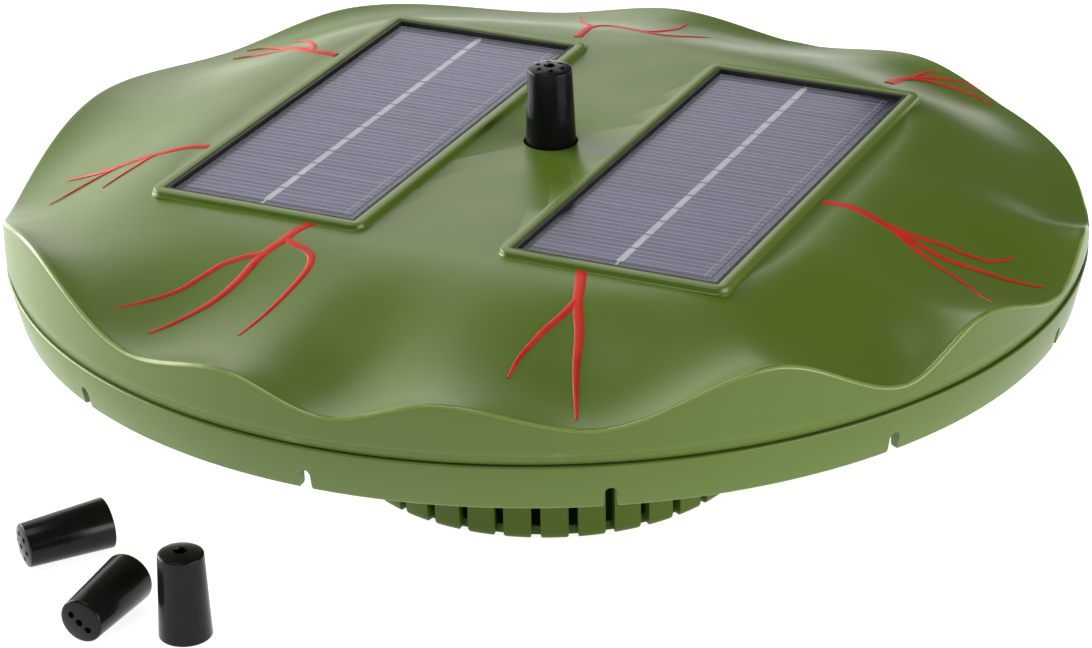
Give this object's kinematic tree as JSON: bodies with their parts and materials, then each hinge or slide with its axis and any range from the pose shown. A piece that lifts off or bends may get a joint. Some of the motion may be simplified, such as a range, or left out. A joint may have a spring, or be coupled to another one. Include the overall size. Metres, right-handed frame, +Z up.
{
  "type": "floating solar fountain pump",
  "caption": "Floating solar fountain pump shaped like a water-lily leaf, with recessed solar panels, a central spray nozzle, a slotted strainer and loose spare nozzle heads.",
  "frame": {"origin": "centre of the strainer basket's flat underside", "axes": "+Z up along the riser and nozzle, Y along the long sides of the solar panels"},
  "size_m": [0.28, 0.2823, 0.107],
  "materials": {
    "leaf_abs": "satin moulded ABS, leaf green",
    "hull_abs": "satin moulded ABS, leaf green",
    "strainer_abs": "satin moulded ABS, dark green",
    "nozzle_black": "glossy moulded plastic, black",
    "seal_rubber": "soft black rubber",
    "foam": "closed-cell foam, off-white",
    "sponge": "open-cell foam, charcoal",
    "screw_steel": "stainless steel",
    "board_black": "black laminate",
    "solar_cell": "dark blue silicon",
    "busbar": "silver ribbon",
    "window": "clear glossy window",
    "lead_red": "red insulated lead",
    "cable_black": "black insulated cable",
    "board_green": "green laminate",
    "pump_black": "moulded plastic, charcoal",
    "impeller_plastic": "moulded plastic, amber",
    "ferrite": "dark ferrite magnet",
    "ceramic": "white ceramic",
    "core_steel": "laminated core steel",
    "copper": "enamelled copper winding"
  },
  "bodies": {
    "float": {"leaf_cover": "leaf_abs", "lower_hull": "hull_abs", "rim_seal": "seal_rubber", "float_foam": "foam", "hull_screws": "screw_steel", "panel_board_left": "board_black", "panel_board_right": "board_black", "solar_cells_left": "solar_cell", "solar_cells_right": "solar_cell", "busbar_ribbon_left": "busbar", "busbar_ribbon_right": "busbar", "panel_window_left": "window", "panel_window_right": "window", "panel_gasket_left": "seal_rubber", "panel_gasket_right": "seal_rubber", "panel_lead_left": "lead_red", "panel_lead_right": "lead_red", "junction_board": "board_green", "riser_tube": "pump_black", "riser_grommet": "seal_rubber", "pump_housing": "pump_black", "volute_cover": "pump_black", "volute_o_ring": "seal_rubber", "volute_screws": "screw_steel", "pump_screws": "screw_steel", "pump_shaft": "ceramic", "front_bearing": "seal_rubber", "rear_bearing": "seal_rubber", "stator_core": "core_steel", "stator_coils": "copper", "driver_board": "board_green", "motor_end_cap": "pump_black", "cable_gland": "seal_rubber", "pump_cable": "cable_black", "hull_gland": "seal_rubber", "inlet_sponge": "sponge"},
    "nozzle": {"nozzle": "nozzle_black"},
    "rotor": {"impeller": "impeller_plastic", "rotor_magnet": "ferrite"},
    "strainer": {"strainer_basket": "strainer_abs"},
    "spare_seven_jet": {"spare_nozzle_seven_jet": "nozzle_black"},
    "spare_three_jet": {"spare_nozzle_three_jet": "nozzle_black"},
    "spare_single_jet": {"spare_nozzle_single_jet": "nozzle_black"}
  },
  "joints": [
    {"name": "nozzle_pull", "type": "slide", "parent": "float", "child": "nozzle", "axis": [0, 0, 1], "range_m": [0, 0.02]},
    {"name": "impeller_spin", "type": "hinge", "parent": "float", "child": "rotor", "pos_m": [-0.011, 0.0035, 0.024], "axis": [0, 1, 0], "continuous": true},
    {"name": "strainer_release", "type": "slide", "parent": "float", "child": "strainer", "axis": [0, 0, -1], "range_m": [0, 0.055]},
    {"name": "spare_seven_jet_lift", "type": "slide", "parent": "float", "child": "spare_seven_jet", "axis": [0, 0, 1], "range_m": [0, 0.025]},
    {"name": "spare_three_jet_lift", "type": "slide", "parent": "float", "child": "spare_three_jet", "axis": [0, 0, 1], "range_m": [0, 0.025]},
    {"name": "spare_single_jet_lift", "type": "slide", "parent": "float", "child": "spare_single_jet", "axis": [0, 0, 1], "range_m": [0, 0.025]}
  ]
}
